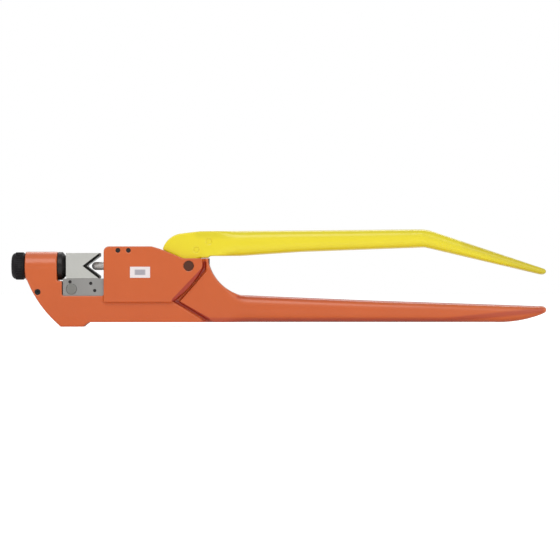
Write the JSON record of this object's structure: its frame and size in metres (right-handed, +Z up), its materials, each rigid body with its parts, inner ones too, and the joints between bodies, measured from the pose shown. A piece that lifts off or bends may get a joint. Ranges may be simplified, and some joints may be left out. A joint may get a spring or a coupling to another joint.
{
  "type": "hand-operated indent crimping tool",
  "caption": "Long-handled hand crimper: C-shaped head with V die and punch, black adjusting knob, fixed orange handle and pivoting yellow handle.",
  "frame": {"origin": "centre of the front foot's flat underside", "axes": "+X from the head to the handle tips, +Z up when the tool stands on its foot, +Y across the tool"},
  "size_m": [0.6395, 0.0491, 0.1165],
  "materials": {
    "orange_paint": "gloss enamel over a casting",
    "yellow_paint": "gloss enamel",
    "bright_steel": "ground, nickel bright",
    "ground_steel": "machined, grey",
    "black_steel": "black oxide",
    "black_plastic": "moulded, fine grain",
    "black_rubber": "matt rubber",
    "bronze": "turned bronze",
    "plain_label": "plain white plate"
  },
  "bodies": {
    "frame": {"frame_casting": "orange_paint", "ram_sleeve": "bronze", "sleeve_pins": "black_steel", "die_bed": "ground_steel", "bed_screws": "black_steel", "boss_bush": "bronze", "detent_ball": "bright_steel", "detent_spring": "bright_steel", "cross_screw": "black_steel", "label_plate": "plain_label", "bumper": "black_rubber", "bumper_screw": "bright_steel", "pivot_bolt": "black_steel", "pivot_washer": "bright_steel"},
    "adjuster": {"adjuster_knob": "black_plastic", "knob_pin": "bright_steel", "adjuster_screw": "bright_steel", "nose_collar": "black_steel", "collar_pin": "bright_steel"},
    "die": {"die_block": "bright_steel", "die_rail": "ground_steel", "rail_screws": "black_steel"},
    "ram": {"ram": "bright_steel", "punch": "bright_steel", "punch_pin": "black_steel", "roller_pin": "black_steel", "return_spring": "bright_steel"},
    "roller": {"roller": "bright_steel"},
    "lever": {"upper_handle": "yellow_paint", "lever_cam": "black_steel", "cam_dowels": "bright_steel", "pivot_bush": "bronze"}
  },
  "joints": [
    {"name": "handle_pivot", "type": "hinge", "parent": "frame", "child": "lever", "pos_m": [0.1395, 0, 0.0726], "axis": [0, -1, 0], "range_deg": [0, 70]},
    {"name": "ram_slide", "type": "slide", "parent": "frame", "child": "ram", "axis": [1, 0, 0], "range_m": [0, 0.0159], "deforming": ["return_spring"]},
    {"name": "roller_spin", "type": "hinge", "parent": "ram", "child": "roller", "pos_m": [0.1035, 0, 0.0726], "axis": [0, 1, 0], "continuous": true},
    {"name": "knob_turn", "type": "hinge", "parent": "frame", "child": "adjuster", "pos_m": [-0.0564, 0, 0.0726], "axis": [1, 0, 0], "range_deg": [0, 360]},
    {"name": "die_slide", "type": "slide", "parent": "frame", "child": "die", "axis": [1, 0, 0], "range_m": [0, 0.0015]}
  ],
  "couplings": [
    {"joint": "ram_slide", "follows": "handle_pivot", "m_per_rad": 0.013},
    {"joint": "knob_turn", "follows": "die_slide", "rad_per_m": 4188.8}
  ]
}
